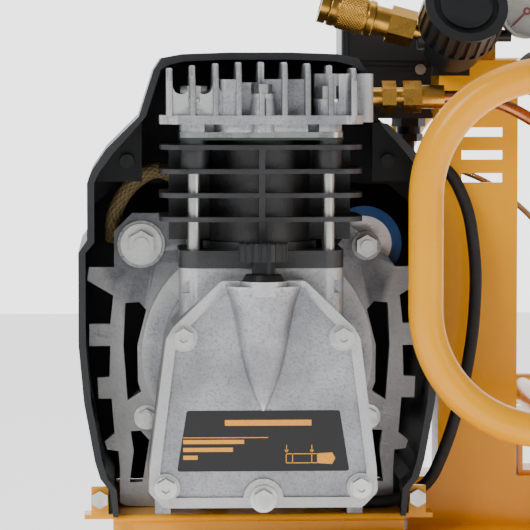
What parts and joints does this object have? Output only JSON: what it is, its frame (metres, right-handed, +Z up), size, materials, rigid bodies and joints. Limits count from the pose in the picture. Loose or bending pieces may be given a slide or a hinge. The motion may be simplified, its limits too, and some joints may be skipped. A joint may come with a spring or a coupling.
{
  "type": "air compressor",
  "caption": "Portable air compressor: finned single-cylinder oil pump and shrouded motor on a pancake tank, with a bent-tube cage, pressure switch and regulator.",
  "frame": {"origin": "on the floor, under the middle of the tank", "axes": "+Z up, -Y the pump's front, +X the side of the cage and controls"},
  "size_m": [0.415, 0.415, 0.5422],
  "materials": {
    "black_cast_iron": "sand casting under heat-resistant black",
    "black_shroud_plastic": "fine textured moulded black plastic",
    "black_switch_plastic": "satin moulded black plastic",
    "black_tank_paint": "black powder coat",
    "blue_sleeve": "shrunk blue film",
    "braided_sleeve": "varnished glass braid",
    "brass": "turned brass",
    "cable_jacket": "extruded cable jacket",
    "can_aluminium": "drawn bright can",
    "cast_aluminium": "shot-blasted die casting",
    "copper": "drawn copper",
    "dull_cast_aluminium": "dull die casting",
    "gauge_lens": "clear lens",
    "green_gasket": "coated gasket sheet",
    "label_film": "printed film",
    "lamination_steel": "stacked laminations",
    "machined_steel": "turned and ground",
    "red_plastic": "moulded red plastic",
    "rubber_black": "moulded rubber",
    "yellow_powder_coat": "smooth powder coat, warm yellow",
    "zinc_steel": "bright zinc plate"
  },
  "bodies": {
    "base": {"bearings": "machined_steel", "brass_fittings": "brass", "cage_crossbars": "yellow_powder_coat", "capacitor_can": "can_aluminium", "capacitor_sleeve": "blue_sleeve", "control_base": "yellow_powder_coat", "control_stand": "yellow_powder_coat", "coupler_body": "brass", "cover_bolts": "zinc_steel", "crankcase": "cast_aluminium", "crankcase_cover": "cast_aluminium", "cylinder": "black_cast_iron", "cylinder_head": "cast_aluminium", "discharge_tube": "copper", "drain_plug": "zinc_steel", "drain_valve_body": "brass", "foot_brackets": "black_tank_paint", "frame_bolts": "zinc_steel", "front_roll_hoop": "yellow_powder_coat", "gaskets": "green_gasket", "gauge_cases": "zinc_steel", "gauge_lenses": "gauge_lens", "handle_grip": "rubber_black", "head_bolts": "zinc_steel", "intake_filter": "black_switch_plastic", "lead_sleeve": "braided_sleeve", "manifold": "brass", "motor_cable": "cable_jacket", "motor_plate": "dull_cast_aluminium", "motor_tie_bolts": "zinc_steel", "oil_label": "label_film", "pressure_switch_base": "black_switch_plastic", "pressure_switch_cover": "black_switch_plastic", "pump_tray": "yellow_powder_coat", "rear_end_bell": "dull_cast_aluminium", "rear_roll_hoop": "yellow_powder_coat", "regulator_body": "black_switch_plastic", "rubber_feet": "rubber_black", "shroud": "black_shroud_plastic", "stator": "lamination_steel", "tank_lower_shell": "yellow_powder_coat", "tank_upper_shell": "yellow_powder_coat", "unloader_tube": "can_aluminium", "valve_plate": "machined_steel", "windings": "copper"},
    "turning_group": {"crankshaft": "machined_steel", "rotor": "lamination_steel", "fan": "black_switch_plastic"},
    "bush": {"big_end_bush": "machined_steel"},
    "piston_group": {"connecting_rod": "cast_aluminium", "piston": "machined_steel"},
    "dipstick": {"dipstick": "black_switch_plastic"},
    "regulator_knob": {"regulator_knob": "black_switch_plastic"},
    "coupler_sleeve": {"coupler_sleeve": "brass"},
    "switch_lever": {"switch_lever": "red_plastic"},
    "safety_ring": {"safety_ring": "zinc_steel"},
    "drain_lever": {"drain_lever": "red_plastic"},
    "tank_needle": {"tank_needle": "red_plastic"},
    "outlet_needle": {"outlet_needle": "red_plastic"},
    "reset_button": {"reset_button": "red_plastic"}
  },
  "joints": [
    {"name": "shaft_spin", "type": "hinge", "parent": "base", "child": "turning_group", "pos_m": [-0.09, 0, 0.29], "axis": [0, 1, 0], "continuous": true},
    {"name": "bush_turn", "type": "hinge", "parent": "turning_group", "child": "bush", "pos_m": [-0.09, -0.06, 0.2975], "axis": [0, 1, 0], "continuous": true},
    {"name": "rod_turn", "type": "hinge", "parent": "bush", "child": "piston_group", "pos_m": [-0.09, -0.072, 0.305], "axis": [0, 1, 0], "continuous": true},
    {"name": "dipstick_pull", "type": "slide", "parent": "base", "child": "dipstick", "axis": [0, 0, 1], "range_m": [0, 0.075]},
    {"name": "regulator_turn", "type": "hinge", "parent": "base", "child": "regulator_knob", "pos_m": [0.038, -0.03, 0.492], "axis": [0.1001, -0.8712, 0.4806], "range_deg": [-540, 540]},
    {"name": "sleeve_pull", "type": "slide", "parent": "base", "child": "coupler_sleeve", "axis": [0.9659, 0, -0.2588], "range_m": [0, 0.006], "stiffness_N_per_m": 900},
    {"name": "switch_turn", "type": "hinge", "parent": "base", "child": "switch_lever", "pos_m": [0.002, 0.095, 0.48], "axis": [0, 1, 0], "range_deg": [0, 60]},
    {"name": "ring_pull", "type": "slide", "parent": "base", "child": "safety_ring", "axis": [0, 0, 1], "range_m": [0, 0.003], "stiffness_N_per_m": 2000},
    {"name": "drain_turn", "type": "hinge", "parent": "base", "child": "drain_lever", "pos_m": [0.15839, -0.15839, 0.063], "axis": [0, 0, 1], "range_deg": [0, 90]},
    {"name": "tank_needle_turn", "type": "hinge", "parent": "base", "child": "tank_needle", "pos_m": [0.068, 0.042, 0.522], "axis": [0, 1, 0], "range_deg": [0, 270]},
    {"name": "outlet_needle_turn", "type": "hinge", "parent": "base", "child": "outlet_needle", "pos_m": [0.086, -0.034, 0.512], "axis": [0, 1, 0], "range_deg": [0, 270]},
    {"name": "reset_push", "type": "slide", "parent": "base", "child": "reset_button", "axis": [0, -1, 0], "range_m": [0, 0.003], "stiffness_N_per_m": 1000}
  ],
  "couplings": [
    {"joint": "bush_turn", "follows": "shaft_spin", "ratio": -2},
    {"joint": "rod_turn", "follows": "shaft_spin", "ratio": 1}
  ]
}
